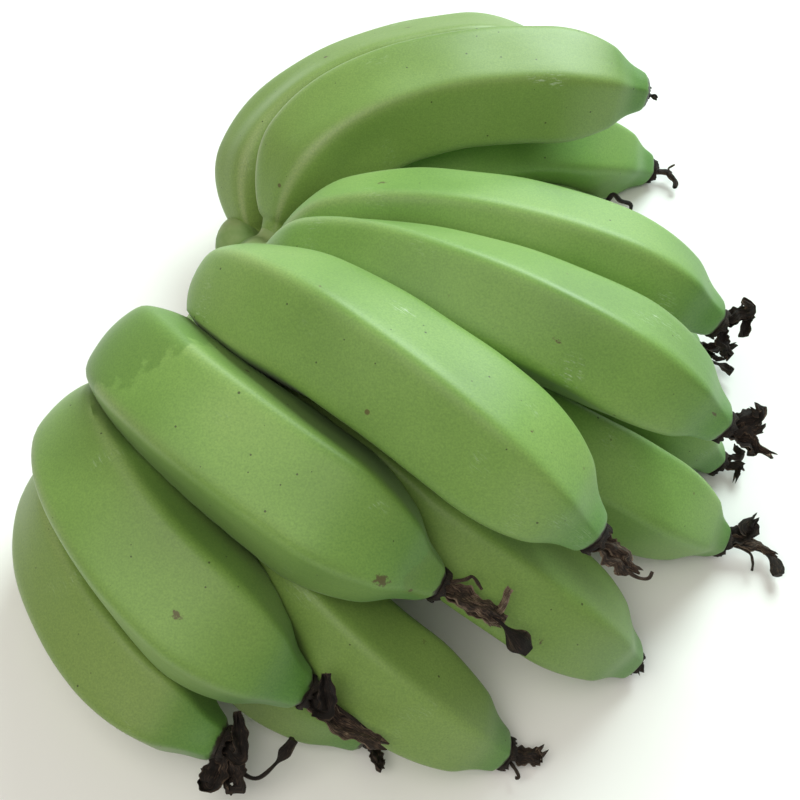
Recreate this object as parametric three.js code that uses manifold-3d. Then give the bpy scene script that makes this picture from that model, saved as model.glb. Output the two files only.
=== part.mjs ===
// A hand of green plantains, lying palm down on a table.
//
// Two rows of curved fruits grow from one crown. The outer row arches over the inner row, and
// every fruit carries the dried remnant of its flower at the tip. Where two fruits lean on each
// other they are flattened, as fruits that swelled side by side are.
//
// Units are millimetres and degrees. +Z is up, the table is z = 0, +X runs from the crown
// towards the tips and +Y towards the far end of the hand. The origin is the middle of the
// hand's footprint on the table.

import * as THREE from 'three';
import { mergeVertices } from 'three/addons/utils/BufferGeometryUtils.js';
import Module from 'manifold-3d';

const wasm = await Module();
wasm.setup();

const { Vector2, Vector3, Matrix4 } = THREE;
const radians = THREE.MathUtils.degToRad;
const smooth = (x, low, high) => THREE.MathUtils.smoothstep(x, low, high);

// Driving dimensions
const MIDDLE = new Vector3(4, 41.79, 0);          // middle of the footprint, in the layout below
const GAP = 0.35;                                // clearance where one piece sits on another
const PRESS_GAP = 1.2;                           // clearance kept by two fruits that lean on each other
const DRAPE_GAP = 3;                             // clearance of a dried flake over the fruit under it

const CROWN = {
  centre: new Vector3(-106, 62, 16),             // middle of the arc that the stalks stand on
  heading: -27, dip: 32,                         // where the bunch's stem pointed
  stalkRadius: 62,                               // arc of the outer row's stalks
  rowStep: 22, rowInset: 10,                     // the inner row is further down the stem, and closer in
  endDrop: 12,                                   // how far the two ends pass below the arc's middle
};

const STALK = { radius: 8.5, length: 22, shoulder: 42 };
const TIP = { radius: 8, taper: 56, waist: 0.09 };   // the fruit draws in a little before its tip
const FACES = 5;                                 // a plantain has five flat sides
const FACE_SHARPNESS = 11;                       // how tightly the ridges between the sides turn
const SIDES = 15;                                // three points for each flat side
const BODY_RINGS = 5;
const SPINE_STEPS = 40;

// Each fruit's two lines: its place on the crown's arc (degrees from the top, towards the viewer), the
// middle of its tip, and its thickness; then the lean of its arch from upright, how steeply it leaves
// the crown and drops to its tip, how far its two ends run straight, as shares of the span, and how
// its flat sides are turned at the crown and at the tip.
const OUTER_ROW = [
  { angle: 85, tip: [-74, -146, 27], girth: 49,
    lean: -75, rise: 71, drop: 50, reach: [0.46, 0.25], roll: [-10, -60] },
  { angle: 60, tip: [-39, -131, 48.5], girth: 58,
    lean: -46, rise: 82, drop: 50, reach: [0.5, 0.35], roll: [-10, -40] },
  { angle: 36, tip: [14, -96, 76], girth: 59,
    lean: -31, rise: 92, drop: 45, reach: [0.53, 0.35], roll: [-7, -18] },
  { angle: 12, tip: [75, -84, 95], girth: 55,
    lean: -5, rise: 71, drop: 42, reach: [0.43, 0.35], roll: [-48, -19] },
  { angle: -12, tip: [135, -31, 90], girth: 50,
    lean: 0, rise: 48, drop: 38, reach: [0.35, 0.35], roll: [-59, -14] },
  { angle: -36, tip: [145, 30, 80], girth: 50,
    lean: 12, rise: 44, drop: 36, reach: [0.35, 0.3], roll: [-14, -7] },
  { angle: -60, tip: [131, 179, 83], girth: 56,
    lean: 45, rise: 58, drop: 28, reach: [0.4, 0.4], roll: [42, 52] },
  { angle: -85, tip: [92, 227, 60], girth: 53,
    lean: 60, rise: 76, drop: 42, reach: [0.42, 0.4], roll: [30, 35] },
];
const INNER_ROW = [
  { angle: 72, tip: [-14, -138, 9], girth: 44,
    lean: -62, rise: 42, drop: 35, reach: [0.4, 0.4], roll: [0, 0] },
  { angle: 48, tip: [44, -145, 5.5], girth: 47,
    lean: -45, rise: 45, drop: 38, reach: [0.4, 0.4], roll: [-6, -6] },
  { angle: 24, tip: [104, -105, 7], girth: 51,
    lean: -25, rise: 45, drop: 36, reach: [0.4, 0.4], roll: [15, 18] },
  { angle: 0, tip: [153, -46, 6], girth: 50,
    lean: -19, rise: 44, drop: 30, reach: [0.4, 0.4], roll: [-12, -4] },
  { angle: -24, tip: [158, -2, 6], girth: 42,
    lean: 0, rise: 38, drop: 35, reach: [0.4, 0.4], roll: [-15, -15] },
  { angle: -46, tip: [155, 64, 8], girth: 42,
    lean: 15, rise: 32, drop: 35, reach: [0.4, 0.4], roll: [0, 0] },
  { angle: -65, tip: [117, 162, 9], girth: 38,
    lean: 30, rise: 18, drop: 15, reach: [0.4, 0.4], roll: [10, 10] },
  { angle: -84, tip: [150, 198, 6], girth: 50,
    lean: 35, rise: 46, drop: 30, reach: [0.4, 0.4], roll: [8, -12] },
];
const FRUITS = [
  ...OUTER_ROW.map((fruit, i) => ({ ...fruit, row: 0, name: `outer_fruit_${i + 1}` })),
  ...INNER_ROW.map((fruit, i) => ({ ...fruit, row: 1, name: `inner_fruit_${i + 1}` })),
];

// What is left of each flower: a crumpled base on the tip, with flakes (flat, given by the points they
// pass, their width and thickness) and threads (round, with a knob at the end of the style).
// Points are offsets from the fruit's tip.
const flake = (wide, thick, ...points) => ({ points, wide, thick, knob: 0, sides: 6, rings: 4 });
const thread = (wide, knob, ...points) => ({ points, wide, thick: wide, knob, sides: 4, rings: 7 });
const FLOWERS = {
  outer_fruit_1: [
    flake(10, 3.5, [-3, -7, -2], [-7, -11, -9]),
    flake(11, 3.5, [3, -7, -3], [6, -15, -10]),
    flake(7, 2.5, [4, -3, 3], [4, 5, 7]),
    thread(2, 6, [7, -9, -6], [15, -13, -8], [24, -7, -3], [30, 1, 1])],
  outer_fruit_2: [
    flake(8, 3, [4, -4, 2], [5, 4, 7]),
    flake(9, 2.5, [9, -5, -2], [20, -9, -5], [35, -13, -8]),
    flake(6, 2.5, [8, -7, -4], [16, -12, -8]),
    thread(2, 0, [10, -4, 0], [22, -7, -4], [31, -14, -9])],
  outer_fruit_3: [
    flake(9, 2.5, [9, -4, -2], [18, -7, -5], [27, -11, -8]),
    flake(6, 2.5, [9, -6, -4], [17, -10, -7], [25, -14, -9]),
    flake(5, 1.5, [14, -5, -3], [25, -9, -6], [29, -4, 0]),
    thread(2, 8, [13, -8, -5], [25, -13, -8], [31, -18, -11], [37, -24, -14]),
    thread(1.8, 0, [8, 0, 2], [15, 1, 3], [19, -3, -1])],
  outer_fruit_4: [
    flake(11, 2.5, [6, -5, -3], [14, -11, -8]),
    flake(7, 2.5, [7, -3, -2], [13, -8, -6], [18, -11, -9]),
    thread(1.8, 0, [9, -8, -6], [17, -13, -10], [22, -14, -10], [24, -11, -8])],
  outer_fruit_5: [
    flake(9, 3, [7, 1, 2], [14, 4, 7]),
    flake(8, 2.5, [9, -1, 0], [17, -1, 0]),
    flake(9, 3, [6, -4, -2], [12, -9, -6]),
    flake(5, 2, [9, -3, -2], [15, -7, -5], [21, -11, -7])],
  outer_fruit_6: [
    flake(8, 3, [5, 1, 2], [8, 4, 6]),
    flake(7, 2.5, [7, 1, 1], [12, 1, 1], [11, -3, -3]),
    flake(8, 3, [2, -4, -3], [3, -7, -5])],
  outer_fruit_7: [flake(3, 2, [2, -1, -1], [5, -1, -2])],
  outer_fruit_8: [flake(6, 3.4, [5, 1, -2], [10, 0, -6])],
  inner_fruit_1: [flake(6, 3, [2, -5, -1], [4, -9, -2])],
  inner_fruit_2: [
    flake(8, 3, [6, -1, 0], [12, -2, 0], [18, 0, 1]),
    thread(1.8, 0, [4, -6, 0], [5, -11, -1])],
  inner_fruit_3: [flake(7, 3, [2, -3, 0], [3, -5, 1])],
  inner_fruit_4: [
    flake(9, 3, [8, 1, 3], [13, 4, 8], [16, 6, 12]),
    flake(7, 2.5, [10, -2, 2], [18, -3, 2], [26, -7, 1]),
    thread(2, 6, [12, -4, 2], [20, -6, 1], [25, -11, 0], [26.2, -18, 0]),
    thread(1.6, 0, [13, -6, 1], [15, -11, 0], [14, -16, -1])],
  inner_fruit_5: [
    flake(5, 2.5, [6, 1, 1], [11, 4, 4]),
    flake(4, 2.5, [6, -2, 1], [10, -4, 0], [10, -10, -2])],
  inner_fruit_6: [
    flake(7, 3, [9, 0, 1], [17, 0, 2], [23, 1, 4]),
    flake(6, 2.5, [9, -3, 0], [17, -5, 0]),
    thread(2, 5, [9, -6, 0], [16, -10, 0], [21, -14, 0])],
  inner_fruit_7: [thread(3, 0, [3, 2, 5], [11, 2, 7], [17, 1, 5], [18, 0, 0])],
  inner_fruit_8: [
    thread(3.4, 0, [6, -1, 0], [12, -3, 0], [16, -8, -1], [15, -13, -2]),
    thread(1.6, 0, [9, -1, 0], [13, 1, 1], [17, 3, 2])],
};

const peel = new THREE.MeshStandardMaterial({ color: 0x7ba65a, roughness: 0.55, metalness: 0 });
const crownSkin = new THREE.MeshStandardMaterial({ color: 0x86a065, roughness: 0.7, metalness: 0 });
const driedFlower = new THREE.MeshStandardMaterial({ color: 0x33271d, roughness: 0.9, metalness: 0 });

// The crown's own axes: along the bunch's stem, up, and sideways towards the viewer
const heading = radians(CROWN.heading);
const dip = radians(CROWN.dip);
const along = new Vector3(
  Math.cos(heading) * Math.cos(dip), Math.sin(heading) * Math.cos(dip), -Math.sin(dip));
const side = along.clone().cross(new Vector3(0, 0, 1)).normalize();
const up = side.clone().cross(along);

function stalkRoot(angle, row) {
  const a = radians(angle);
  const outward = up.clone().multiplyScalar(Math.cos(a)).addScaledVector(side, Math.sin(a));
  return CROWN.centre.clone()
    .addScaledVector(outward, CROWN.stalkRadius - CROWN.rowInset * row)
    .addScaledVector(along, CROWN.rowStep * row);
}

// Middle line of a fruit: a flat arch from the crown to the tip, leaning by its own angle
function spineOf(fruit) {
  const root = stalkRoot(fruit.angle, fruit.row);
  const tip = new Vector3(...fruit.tip);
  const span = root.distanceTo(tip);
  const forward = tip.clone().sub(root).normalize();
  const lean = radians(fruit.lean);
  const upright = new Vector3(0, 0, 1).addScaledVector(forward, -forward.z).normalize();
  const across = upright.clone().cross(forward);
  const arch = upright.clone().multiplyScalar(Math.cos(lean)).addScaledVector(across, Math.sin(lean));
  const rise = radians(fruit.rise);
  const drop = radians(fruit.drop);
  const leave = forward.clone().multiplyScalar(Math.cos(rise)).addScaledVector(arch, Math.sin(rise));
  const arrive = forward.clone().multiplyScalar(Math.cos(drop)).addScaledVector(arch, -Math.sin(drop));
  const curve = new THREE.CubicBezierCurve3(
    root, root.clone().addScaledVector(leave, span * fruit.reach[0]),
    tip.clone().addScaledVector(arrive, -span * fruit.reach[1]), tip);
  return { curve, length: curve.getLength(), normal: arch.clone().cross(forward) };
}

// Radius of a fruit's round outline at a distance from the crown: stalk, shoulder, body, blunt tip
function radiusAt(s, length, girth) {
  const body = girth / 2;
  const past = THREE.MathUtils.clamp((s - STALK.length * 0.75) / (STALK.shoulder * 1.3), 0, 1);
  const swell = 0.55 * smooth(s - STALK.length / 2, 0, STALK.shoulder)
    + 0.45 * Math.sqrt(1 - (1 - past) ** 2);
  const left = THREE.MathUtils.clamp((length - s) / TIP.taper, 0, 1);
  const waist = TIP.waist * Math.sin(Math.PI * THREE.MathUtils.clamp(left / 0.4, 0, 1)) ** 2;
  const narrowing = TIP.radius + (body - TIP.radius) * (1 - (1 - left) ** 1.9 - waist);
  return Math.min(STALK.radius + (body - STALK.radius) * swell, narrowing);
}

// How far the flat sides and ridges move the skin in or out of the round outline
function ridgeFactor(angle, s, length) {
  let sum = 0;
  for (let face = 0; face < FACES; face += 1) {
    const facing = Math.cos(angle - (face * 2 * Math.PI) / FACES);
    sum += Math.max(0, facing) ** FACE_SHARPNESS;
  }
  const t = s / length;
  const amount = smooth(t, 0.06, 0.38) * THREE.MathUtils.clamp(0.5 + (1 - t) / 0.16, 0, 1);
  const mean = 1.075;
  return 1 + (sum ** (-1 / FACE_SHARPNESS) / mean - 1) * amount;
}

function frameAt(spine, s) {
  const u = THREE.MathUtils.clamp(s / spine.length, 0, 1);
  const point = spine.curve.getPointAt(u);
  const tangent = spine.curve.getTangentAt(u);
  const ups = tangent.clone().cross(spine.normal).normalize();
  return { point, tangent, ups, side: tangent.clone().cross(ups) };
}

const shapes = FRUITS.map((fruit) => {
  const spine = spineOf(fruit);
  const beads = Array.from({ length: SPINE_STEPS + 1 }, (_, i) => {
    const s = (i / SPINE_STEPS) * spine.length;
    return { point: frameAt(spine, s).point, radius: radiusAt(s, spine.length, fruit.girth) };
  });
  return { fruit, spine, beads };
});

// The foot of a point on a fruit's middle line, and how far the point is from its round outline
// (less than zero inside it)
function nearestOn(shape, point) {
  const nearest = { distance: Infinity, foot: new Vector3() };
  const link = new THREE.Line3();
  const foot = new Vector3();
  for (let i = 0; i < SPINE_STEPS; i += 1) {
    const a = shape.beads[i];
    const b = shape.beads[i + 1];
    link.set(a.point, b.point);
    const t = link.closestPointToPointParameter(point, true);
    link.at(t, foot);
    const distance = foot.distanceTo(point) - THREE.MathUtils.lerp(a.radius, b.radius, t);
    if (distance < nearest.distance) {
      nearest.distance = distance;
      nearest.foot.copy(foot);
    }
  }
  return nearest;
}

// Draws a skin point back towards its own middle line until its neighbours are clear of it
function pressedReach(shape, centre, outward, reach, ownRadius, neighbours) {
  let result = reach;
  for (const other of neighbours) {
    const tooFar = (r) => r - ownRadius + PRESS_GAP
      > nearestOn(other, centre.clone().addScaledVector(outward, r)).distance;
    if (tooFar(result)) {
      let low = 0;
      let high = result;
      for (let step = 0; step < 14; step += 1) {
        const middle = (low + high) / 2;
        if (tooFar(middle)) high = middle;
        else low = middle;
      }
      result = low;
    }
  }
  return result;
}

function stationsOf(length) {
  const stalk = [0, 10, 20, 30, 42, 56];
  const tip = [50, 34, 20, 9, 0].map((back) => length - back);
  const first = stalk[stalk.length - 1];
  const body = Array.from({ length: BODY_RINGS },
    (_, i) => first + ((tip[0] - first) * (i + 1)) / (BODY_RINGS + 1));
  return [...stalk, ...body, ...tip];
}

function near(a, b) {
  const boxA = new THREE.Box3().setFromPoints(a.beads.map((bead) => bead.point));
  const boxB = new THREE.Box3().setFromPoints(b.beads.map((bead) => bead.point));
  return boxA.expandByScalar((a.fruit.girth + b.fruit.girth) / 2).intersectsBox(boxB);
}

function fruitGeometry(shape, grow) {
  const { fruit, spine } = shape;
  const neighbours = shapes.filter((other) => other !== shape && near(shape, other));
  const stations = stationsOf(spine.length);
  const profile = stations.map((s) => new Vector2(radiusAt(s, spine.length, fruit.girth), s));
  const blank = new THREE.LatheGeometry(
    [new Vector2(0, 0), ...profile, new Vector2(0, spine.length)], SIDES, Math.PI / SIDES);
  const places = blank.attributes.position;
  for (let i = 0; i < places.count; i += 1) {
    const s = places.getY(i);
    const frame = frameAt(spine, s);
    const round = Math.hypot(places.getX(i), places.getZ(i));
    if (round > 0.01) {
      const angle = Math.atan2(places.getX(i), places.getZ(i));
      const turned = angle + radians(THREE.MathUtils.lerp(...fruit.roll, s / spine.length));
      const outward = frame.ups.clone().multiplyScalar(Math.cos(turned))
        .addScaledVector(frame.side, Math.sin(turned));
      const reach = round * ridgeFactor(angle, s, spine.length);
      const pressed = pressedReach(shape, frame.point, outward, reach, round, neighbours);
      frame.point.addScaledVector(outward, pressed + grow);
    }
    if (s === 0) frame.point.addScaledVector(frame.tangent, -grow);
    places.setXYZ(i, frame.point.x, frame.point.y, frame.point.z);
  }
  return blank;
}

function solidOf(geometry) {
  geometry.deleteAttribute('normal');
  geometry.deleteAttribute('uv');
  const merged = mergeVertices(geometry, 1e-3);
  const corners = [];
  for (let i = 0; i < merged.index.count; i += 3) {
    const [a, b, c] = [0, 1, 2].map((k) => merged.index.getX(i + k));
    if (a !== b && b !== c && c !== a) corners.push(a, b, c);
  }
  return new wasm.Manifold(new wasm.Mesh({
    numProp: 3,
    vertProperties: new Float32Array(merged.attributes.position.array),
    triVerts: new Uint32Array(corners),
  }));
}

function geometryOf(solid) {
  const mesh = solid.getMesh();
  const geometry = new THREE.BufferGeometry();
  geometry.setAttribute('position', new THREE.BufferAttribute(mesh.vertProperties, 3));
  geometry.setIndex(new THREE.BufferAttribute(mesh.triVerts, 1));
  geometry.computeVertexNormals();
  return geometry;
}

// The crown: a thick curved cushion, cut from a ring, with a socket for each stalk
function crownSolid() {
  const section = [
    [60, -15], [67, -7], [67, 6], [60, 17], [57, 27], [52, 34], [44, 34],
    [40, 26], [38, 5], [40, -10], [46, -16],
  ];
  const outline = [...section, section[0]].map(([r, s]) => new Vector2(r, s));
  const ring = new THREE.LatheGeometry(outline, 30);
  ring.applyMatrix4(new Matrix4().makeBasis(side, along, up).setPosition(CROWN.centre));
  const belowEnds = up.dot(CROWN.centre) - CROWN.endDrop;
  let crown = solidOf(ring).trimByPlane(up.toArray(), belowEnds);
  for (const shape of shapes) crown = crown.subtract(solidOf(fruitGeometry(shape, GAP)));
  return crown;
}

// Lifts a point off every fruit that it would sink into, so that a flake drapes over it
function liftClear(point, clearance) {
  for (const other of shapes) {
    const { distance, foot } = nearestOn(other, point);
    if (distance < clearance) {
      const outward = point.clone().sub(foot).normalize();
      point.addScaledVector(outward, clearance - distance);
    }
  }
  return point;
}

// One flake or thread: a spindle laid along its path, flattened where it is a flake
function lobeSolid(lobe, tip) {
  const clearance = Math.max(lobe.knob, lobe.wide) / 2 + DRAPE_GAP;
  const passed = lobe.points.map((p) => liftClear(tip.clone().add(new Vector3(...p)), clearance));
  const path = new THREE.CatmullRomCurve3([tip, ...passed]);
  const length = path.getLength();
  const half = (t) => (lobe.knob
    ? lobe.wide / 2 + (lobe.knob - lobe.wide) / 2 * smooth(t, 0.82, 0.92)
    : lobe.wide / 2 * (0.3 + 0.7 * Math.sin(Math.PI * Math.min(1, 0.25 + t * 0.7))));
  const rings = Array.from({ length: lobe.rings + 1 }, (_, i) => i / lobe.rings);
  const blank = new THREE.LatheGeometry(
    [new Vector2(0, 0), ...rings.map((t) => new Vector2(half(t), t * length)), new Vector2(0, length)],
    lobe.sides);
  const flatten = lobe.thick / lobe.wide;
  const places = blank.attributes.position;
  for (let i = 0; i < places.count; i += 1) {
    const t = THREE.MathUtils.clamp(places.getY(i) / length, 0, 1);
    const tangent = path.getTangentAt(t);
    const across = tangent.clone().cross(new Vector3(0, 0, 1)).normalize();
    const over = across.clone().cross(tangent);
    const point = path.getPointAt(t)
      .addScaledVector(across, places.getX(i)).addScaledVector(over, places.getZ(i) * flatten);
    places.setXYZ(i, point.x, point.y, point.z);
  }
  return solidOf(blank);
}

function flowerSolid(shape) {
  const end = frameAt(shape.spine, shape.spine.length);
  const base = new THREE.LatheGeometry(
    [[0, 0], [6.5, 0], [7, 2], [4.5, 4.5], [0, 5]].map(([r, s]) => new Vector2(r, s)), 8);
  base.applyMatrix4(new Matrix4().makeBasis(end.side, end.tangent, end.ups)
    .setPosition(end.point.clone().addScaledVector(end.tangent, GAP)));
  const centre = end.point.clone().addScaledVector(end.tangent, 3);
  const clearOfFruit = end.tangent.dot(end.point) + 2 * GAP;
  let flower = solidOf(base);
  for (const lobe of FLOWERS[shape.fruit.name]) {
    flower = flower.add(lobeSolid(lobe, centre).trimByPlane(end.tangent.toArray(), clearOfFruit));
  }
  return flower;
}

const hand = new THREE.Group();
hand.position.copy(MIDDLE).negate();

function place(name, solid, material) {
  const rested = solid.trimByPlane([0, 0, 1], 0);
  const mesh = new THREE.Mesh(geometryOf(rested), material);
  mesh.name = name;
  hand.add(mesh);
}

place('crown', crownSolid(), crownSkin);
for (const shape of shapes) {
  place(shape.fruit.name, solidOf(fruitGeometry(shape, 0)), peel);
  place(shape.fruit.name.replace('fruit', 'flower'), flowerSolid(shape), driedFlower);
}

const group = new THREE.Group();
group.add(hand);

export default group;
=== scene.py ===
"""A hand of green plantains, lying palm down: peel, crown, dried flowers and a plain stage."""

import math
from functools import partial

import bpy
import numpy as np
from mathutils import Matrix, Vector


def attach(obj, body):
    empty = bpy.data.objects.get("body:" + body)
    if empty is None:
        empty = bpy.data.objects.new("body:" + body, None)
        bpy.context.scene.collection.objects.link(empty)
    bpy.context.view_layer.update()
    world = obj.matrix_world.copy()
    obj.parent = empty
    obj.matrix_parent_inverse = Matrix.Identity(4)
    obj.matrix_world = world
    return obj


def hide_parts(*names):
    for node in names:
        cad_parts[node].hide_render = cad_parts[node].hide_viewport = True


bl_info = {
    "name": "Hand of green plantains",
    "version": (1, 0, 0),
    "blender": (4, 5, 0),
    "location": "View3D > Sidebar > Plantains",
    "description": "Builds the peel, crown and dried flowers of a hand of green plantains",
    "category": "Object",
}

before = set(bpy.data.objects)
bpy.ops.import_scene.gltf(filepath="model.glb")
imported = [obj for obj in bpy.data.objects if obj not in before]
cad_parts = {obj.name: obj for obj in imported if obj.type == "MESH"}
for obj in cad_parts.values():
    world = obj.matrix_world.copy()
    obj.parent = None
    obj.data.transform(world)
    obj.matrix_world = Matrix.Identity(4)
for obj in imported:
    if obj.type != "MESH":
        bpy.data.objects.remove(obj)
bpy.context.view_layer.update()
MM = 0.001
BODY = "root"

# The layout of the hand in millimetres and degrees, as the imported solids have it. The layout's own
# zero is set apart from the frame's by MIDDLE, the middle of the footprint.
MIDDLE = np.array([4.0, 41.79, 0.0])
CROWN_CENTRE = np.array([-106.0, 62.0, 16.0])
CROWN_HEADING = -27
CROWN_DIP = 32
STALK_ARC = 62
ROW_STEP = 22
ROW_INSET = 10
STALK_RADIUS = 8.5
STALK_LENGTH = 22
SHOULDER = 42
TIP_RADIUS = 8
TIP_TAPER = 56
TIP_WAIST = 0.09
FACES = 5
FACE_SHARPNESS = 15
FACE_MEAN = 1.075
FLUTE_DEPTH = 0.035

# Each fruit: place on the crown's arc, tip, girth, lean of its arch, rise at the crown, drop at the
# tip, straight reach of its two ends as shares of the span, turn of its flat sides at the two ends
OUTER_ROW = [
    (85, (-74, -146, 27), 49, -75, 71, 50, (0.46, 0.25), (-10, -60)),
    (60, (-39, -131, 48.5), 58, -46, 82, 50, (0.5, 0.35), (-10, -40)),
    (36, (14, -96, 76), 59, -31, 92, 45, (0.53, 0.35), (-7, -18)),
    (12, (75, -84, 95), 55, -5, 71, 42, (0.43, 0.35), (-48, -19)),
    (-12, (135, -31, 90), 50, 0, 48, 38, (0.35, 0.35), (-59, -14)),
    (-36, (145, 30, 80), 50, 12, 44, 36, (0.35, 0.3), (-14, -7)),
    (-60, (131, 179, 83), 56, 45, 58, 28, (0.4, 0.4), (42, 52)),
    (-85, (92, 227, 60), 53, 60, 76, 42, (0.42, 0.4), (30, 35)),
]
INNER_ROW = [
    (72, (-14, -138, 9), 44, -62, 42, 35, (0.4, 0.4), (0, 0)),
    (48, (44, -145, 5.5), 47, -45, 45, 38, (0.4, 0.4), (-6, -6)),
    (24, (104, -105, 7), 51, -25, 45, 36, (0.4, 0.4), (15, 18)),
    (0, (153, -46, 6), 50, -19, 44, 30, (0.4, 0.4), (-12, -4)),
    (-24, (158, -2, 6), 42, 0, 38, 35, (0.4, 0.4), (-15, -15)),
    (-46, (155, 64, 8), 42, 15, 32, 35, (0.4, 0.4), (0, 0)),
    (-65, (117, 162, 9), 38, 30, 18, 15, (0.4, 0.4), (10, 10)),
    (-84, (150, 198, 6), 50, 35, 46, 30, (0.4, 0.4), (8, -12)),
]

# What is left of each flower. A flake is ("flake", width, thickness, shade, points) and a thread is
# ("thread", width, knob, shade, points). Points are offsets from the fruit's tip, and the shade runs
# from 0, near black, to 1, mid brown.
FLOWERS = {
    "outer_1": [
        ("flake", 10, 3.5, 0.1, [(-3, -7, -2), (-7, -11, -9)]),
        ("flake", 11, 3.5, 0.2, [(3, -7, -3), (6, -15, -10)]),
        ("flake", 7, 2.5, 0.05, [(4, -3, 3), (4, 5, 7)]),
        ("thread", 2, 6, 0.15, [(7, -9, -6), (15, -13, -8), (24, -7, -3), (30, 1, 1)]),
    ],
    "outer_2": [
        ("flake", 8, 3, 0.0, [(4, -4, 2), (5, 4, 7)]),
        ("flake", 9, 2.5, 0.45, [(9, -5, -2), (20, -9, -5), (35, -13, -8)]),
        ("flake", 6, 2.5, 0.25, [(8, -7, -4), (16, -12, -8)]),
        ("thread", 2, 0, 0.3, [(10, -4, 0), (22, -7, -4), (31, -14, -9)]),
    ],
    "outer_3": [
        ("flake", 9, 2.5, 0.5, [(9, -4, -2), (18, -7, -5), (27, -11, -8)]),
        ("flake", 6, 2.5, 0.6, [(9, -6, -4), (17, -10, -7), (25, -14, -9)]),
        ("flake", 5, 1.5, 0.8, [(14, -5, -3), (25, -9, -6), (29, -4, 0)]),
        ("thread", 2, 8, 0.05, [(13, -8, -5), (25, -13, -8), (31, -18, -11), (37, -24, -14)]),
        ("thread", 1.8, 0, 0.5, [(8, 0, 2), (15, 1, 3), (19, -3, -1)]),
    ],
    "outer_4": [
        ("flake", 11, 2.5, 0.4, [(6, -5, -3), (14, -11, -8)]),
        ("flake", 7, 2.5, 0.5, [(7, -3, -2), (13, -8, -6), (18, -11, -9)]),
        ("thread", 1.8, 0, 0.4, [(9, -8, -6), (17, -13, -10), (22, -14, -10), (24, -11, -8)]),
    ],
    "outer_5": [
        ("flake", 9, 3, 0.05, [(7, 1, 2), (14, 4, 7)]),
        ("flake", 8, 2.5, 0.2, [(9, -1, 0), (17, -1, 0)]),
        ("flake", 9, 3, 0.15, [(6, -4, -2), (12, -9, -6)]),
        ("flake", 5, 2, 0.3, [(9, -3, -2), (15, -7, -5), (21, -11, -7)]),
    ],
    "outer_6": [
        ("flake", 8, 3, 0.05, [(5, 1, 2), (8, 4, 6)]),
        ("flake", 7, 2.5, 0.05, [(7, 1, 1), (12, 1, 1), (11, -3, -3)]),
        ("flake", 8, 3, 0.1, [(2, -4, -3), (3, -7, -5)]),
    ],
    "outer_7": [
        ("flake", 3, 2, 0.0, [(2, -1, -1), (5, -1, -2)]),
    ],
    "outer_8": [
        ("flake", 6, 3.4, 0.1, [(5, 1, -2), (10, 0, -6)]),
    ],
    "inner_1": [
        ("flake", 6, 3, 0.2, [(2, -5, -1), (4, -9, -2)]),
    ],
    "inner_2": [
        ("flake", 8, 3, 0.25, [(6, -1, 0), (12, -2, 0), (18, 0, 1)]),
        ("thread", 1.8, 0, 0.3, [(4, -6, 0), (5, -11, -1)]),
    ],
    "inner_3": [
        ("flake", 7, 3, 0.2, [(2, -3, 0), (3, -5, 1)]),
    ],
    "inner_4": [
        ("flake", 9, 3, 0.05, [(8, 1, 3), (13, 4, 8), (16, 6, 12)]),
        ("flake", 7, 2.5, 0.45, [(10, -2, 2), (18, -3, 2), (26, -7, 1)]),
        ("thread", 2, 6, 0.1, [(12, -4, 2), (20, -6, 1), (25, -11, 0), (26.2, -18, 0)]),
        ("thread", 1.6, 0, 0.3, [(13, -6, 1), (15, -11, 0), (14, -16, -1)]),
    ],
    "inner_5": [
        ("flake", 5, 2.5, 0.1, [(6, 1, 1), (11, 4, 4)]),
        ("flake", 4, 2.5, 0.2, [(6, -2, 1), (10, -4, 0), (10, -10, -2)]),
    ],
    "inner_6": [
        ("flake", 7, 3, 0.1, [(9, 0, 1), (17, 0, 2), (23, 1, 4)]),
        ("flake", 6, 2.5, 0.1, [(9, -3, 0), (17, -5, 0)]),
        ("thread", 2, 5, 0.05, [(9, -6, 0), (16, -10, 0), (21, -14, 0)]),
    ],
    "inner_7": [
        ("thread", 3, 0, 0.0, [(3, 2, 5), (11, 2, 7), (17, 1, 5), (18, 0, 0)]),
    ],
    "inner_8": [
        ("thread", 3.8, 0, 0.2, [(6, -1, 0), (12, -3, 0), (16, -8, -1), (15, -13, -2)]),
        ("thread", 1.6, 0, 0.6, [(9, -1, 0), (13, 1, 1), (17, 3, 2)]),
    ],
}

# Size of the flower's ragged cup, as a share of a whole one, on the fruits where it is smaller
COLLARS = {"outer_7": 0.55, "inner_1": 0.8, "inner_3": 0.85, "inner_7": 0.8}

# How far each fruit turns towards olive_and_shade_colour, from 0 to 1: partly the fruit's own hue, partly
# painted shade that darkens the fruits further back and lower down
OLIVE_AND_SHADE_AMOUNTS = {
    "outer_1": 0.8, "outer_2": 0.4, "outer_3": 0.3, "outer_4": 0.25, "outer_5": 0.15, "outer_6": 0.1,
    "outer_7": 0.6, "outer_8": 0.8, "inner_1": 0.7, "inner_2": 0.6, "inner_3": 0.5, "inner_4": 0.1,
    "inner_5": 0.1, "inner_6": 0.2, "inner_7": 0.2, "inner_8": 0.0,
}

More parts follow.
